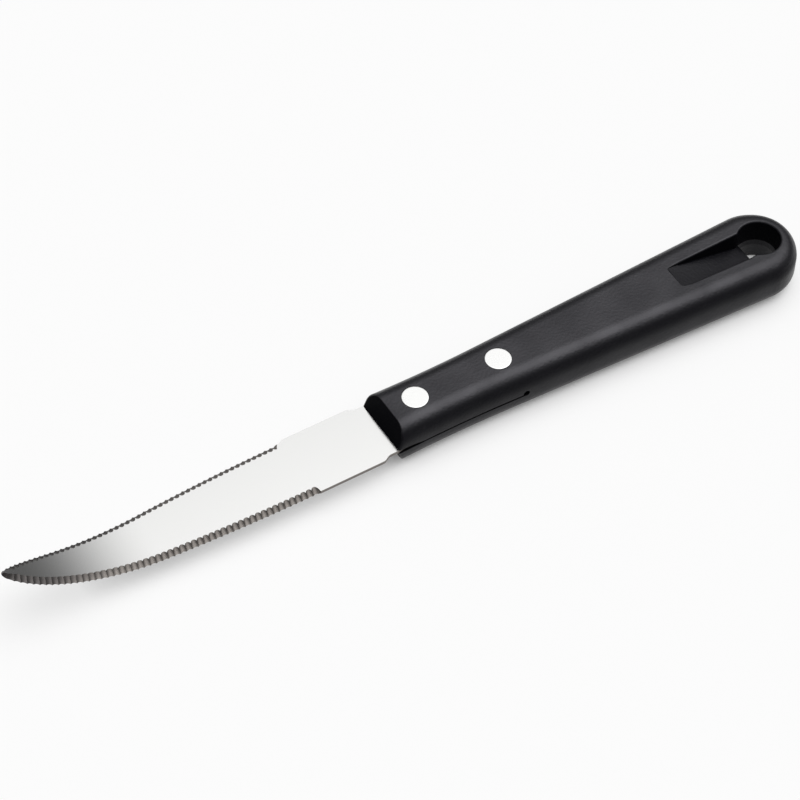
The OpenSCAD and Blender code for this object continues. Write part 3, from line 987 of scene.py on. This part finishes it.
class KNIFE_OT_studio(bpy.types.Operator):
    """Builds the pale floor, the soft light and the camera"""
    bl_idname = "knife.studio"
    bl_label = "Studio"

    def execute(self, context):
        scene = context.scene
        settings = scene.knife_studio
        self.add_floor(settings)
        self.add_light(scene, settings)
        self.add_camera(scene, settings)
        scene.view_settings.view_transform = "Standard"
        return {"FINISHED"}

    def add_floor(self, settings):
        """A pale sheet that shows as plain background, with a faint contact shadow"""
        # Matt white paper, painted grey away from the knife: painted shade where the floor is out
        # of the light
        material, tree, place = new_material("matt_white_paper")
        away = node(tree, "ShaderNodeVectorMath", {"operation": "LENGTH"}, {0: place})
        fade = node(tree, "ShaderNodeMapRange", {"interpolation_type": "SMOOTHSTEP"}, {
            "Value": away.outputs["Value"],
            "From Min": settings.fade_start, "From Max": settings.fade_end})
        paper = node(tree, "ShaderNodeMix", {"data_type": "RGBA"}, {
            "Factor": fade.outputs["Result"], COLOUR_A: settings.floor_colour,
            COLOUR_B: settings.floor_far_colour}).outputs[COLOUR_MIX]
        shader = node(tree, "ShaderNodeBsdfPrincipled", sockets={
            "Base Color": paper, "Roughness": 0.9, "Specular IOR Level": 0.0})
        # Part of the white is the background itself, to the eye and in reflections alike
        glow = node(tree, "ShaderNodeEmission", sockets={"Color": paper, "Strength": 1.0})
        path = node(tree, "ShaderNodeLightPath").outputs
        straight = node(tree, "ShaderNodeMath", {"operation": "MAXIMUM"}, {
            0: path["Is Camera Ray"], 1: path["Is Glossy Ray"]})
        seen = node(tree, "ShaderNodeMath", {"operation": "MAXIMUM"}, {
            0: straight.outputs["Value"], 1: path["Is Transmission Ray"]})
        # Near the knife the glowing share is dimmed: painted contact shadow
        open_sky = node(tree, "ShaderNodeAmbientOcclusion", {"samples": 8}, {
            "Distance": settings.contact})
        uncovered = node(tree, "ShaderNodeMath", {"operation": "MULTIPLY"}, {
            0: seen.outputs["Value"], 1: open_sky.outputs["AO"]})
        share = node(tree, "ShaderNodeMath", {"operation": "MULTIPLY"}, {
            0: uncovered.outputs["Value"], 1: settings.background_share})
        mix = node(tree, "ShaderNodeMixShader", sockets={
            0: share.outputs["Value"], 1: shader.outputs["BSDF"], 2: glow.outputs["Emission"]})
        node(tree, "ShaderNodeOutputMaterial", sockets={"Surface": mix.outputs["Shader"]})
        bm = bmesh.new()
        bmesh.ops.create_grid(bm, x_segments=1, y_segments=1, size=settings.floor_size / 2)
        floor = add_mesh(bm, "floor", [material])

    def add_light(self, scene, settings):
        """A soft overhead light that fades to a dim room at the horizon"""
        world = bpy.data.worlds.new("studio")
        world.use_nodes = True
        scene.world = world
        tree = world.node_tree
        tree.nodes.clear()
        direction = node(tree, "ShaderNodeTexCoord").outputs["Generated"]
        axes = node(tree, "ShaderNodeSeparateXYZ", sockets={"Vector": direction}).outputs
        # Where each direction meets a level sheet overhead, measured from the light's middle
        lowest = 0.02
        height = node(tree, "ShaderNodeMath", {"operation": "MAXIMUM"}, {0: axes["Z"], 1: lowest})
        overhead = node(tree, "ShaderNodeVectorMath", {"operation": "DIVIDE"}, {
            0: direction, 1: height.outputs["Value"]})
        apart = node(tree, "ShaderNodeVectorMath", {"operation": "SUBTRACT"}, {
            0: overhead.outputs["Vector"], 1: (*settings.light_middle, 1)}).outputs["Vector"]
        # The light falls off faster to the left and to the camera's side
        other_way = node(tree, "ShaderNodeVectorMath", {"operation": "MULTIPLY"}, {
            0: apart, 1: (-settings.left_fall, -settings.near_fall, -1)})
        spread = node(tree, "ShaderNodeVectorMath", {"operation": "MAXIMUM"}, {
            0: apart, 1: other_way.outputs["Vector"]}).outputs["Vector"]
        square = node(tree, "ShaderNodeVectorMath", {"operation": "DOT_PRODUCT"}, {
            0: spread, 1: spread})
        falling = node(tree, "ShaderNodeMath", {"operation": "MULTIPLY_ADD"}, {
            0: square.outputs["Value"], 1: 1 / settings.light_spread, 2: 1.0})
        power = node(tree, "ShaderNodeMath", {"operation": "POWER"}, {
            0: falling.outputs["Value"], 1: -2.0})
        even = node(tree, "ShaderNodeMath", {"operation": "MINIMUM"}, {
            0: power.outputs["Value"], 1: settings.light_cap})
        strength = node(tree, "ShaderNodeMath", {"operation": "MULTIPLY_ADD"}, {
            0: even.outputs["Value"], 1: settings.zenith, 2: settings.horizon})
        light = node(tree, "ShaderNodeBackground", sockets={
            "Color": (1, 1, 1, 1), "Strength": strength.outputs["Value"]})
        node(tree, "ShaderNodeOutputWorld", sockets={"Surface": light.outputs["Background"]})

    def add_camera(self, scene, settings):
        """The camera aims a little behind the handle's front and rolls slightly"""
        data = bpy.data.cameras.new("camera")
        data.sensor_width = SENSOR_WIDTH
        data.lens = settings.lens
        data.clip_start = 10 * MM
        camera = add_object("camera", data)
        turn, rise = settings.azimuth, settings.elevation
        level = Vector((sin(turn), cos(turn), 0))
        ahead = level * cos(rise) - Vector((0, 0, sin(rise)))
        camera.matrix_world = ahead.to_track_quat("-Z", "Y").to_matrix().to_4x4()
        camera.rotation_euler.rotate_axis("Z", settings.roll)
        camera.location = ORIGIN + Vector(settings.aim) - ahead * settings.distance
        scene.camera = camera


class KNIFE_PT_sidebar(bpy.types.Panel):
    """Lists the sizes and the steps that build the knife"""
    bl_idname = "KNIFE_PT_sidebar"
    bl_label = "Grapefruit knife"
    bl_space_type = "VIEW_3D"
    bl_region_type = "UI"
    bl_category = "Knife"

    def draw(self, context):
        for step in ("blade", "handle", "rivets", "studio"):
            box = self.layout.box()
            box.operator(f"knife.{step}")
            settings = getattr(context.scene, f"knife_{step}")
            for name in settings.bl_rna.properties.keys():
                if name not in ("rna_type", "name"):
                    box.prop(settings, name)


GROUPS = {"knife_blade": BladeSettings, "knife_handle": HandleSettings,
          "knife_rivets": RivetSettings, "knife_studio": StudioSettings}
CLASSES = (*GROUPS.values(), KNIFE_OT_blade, KNIFE_OT_handle, KNIFE_OT_rivets, KNIFE_OT_studio,
           KNIFE_PT_sidebar)


def register():
    for kind in CLASSES:
        bpy.utils.register_class(kind)
    for name, group in GROUPS.items():
        setattr(bpy.types.Scene, name, bpy.props.PointerProperty(type=group))


def unregister():
    for name in GROUPS:
        delattr(bpy.types.Scene, name)
    for kind in reversed(CLASSES):
        bpy.utils.unregister_class(kind)


def main():
    register()
    bpy.ops.knife.studio()
    bpy.ops.knife.blade()
    bpy.ops.knife.handle()
    bpy.ops.knife.rivets()


if __name__ == "__main__":
    main()
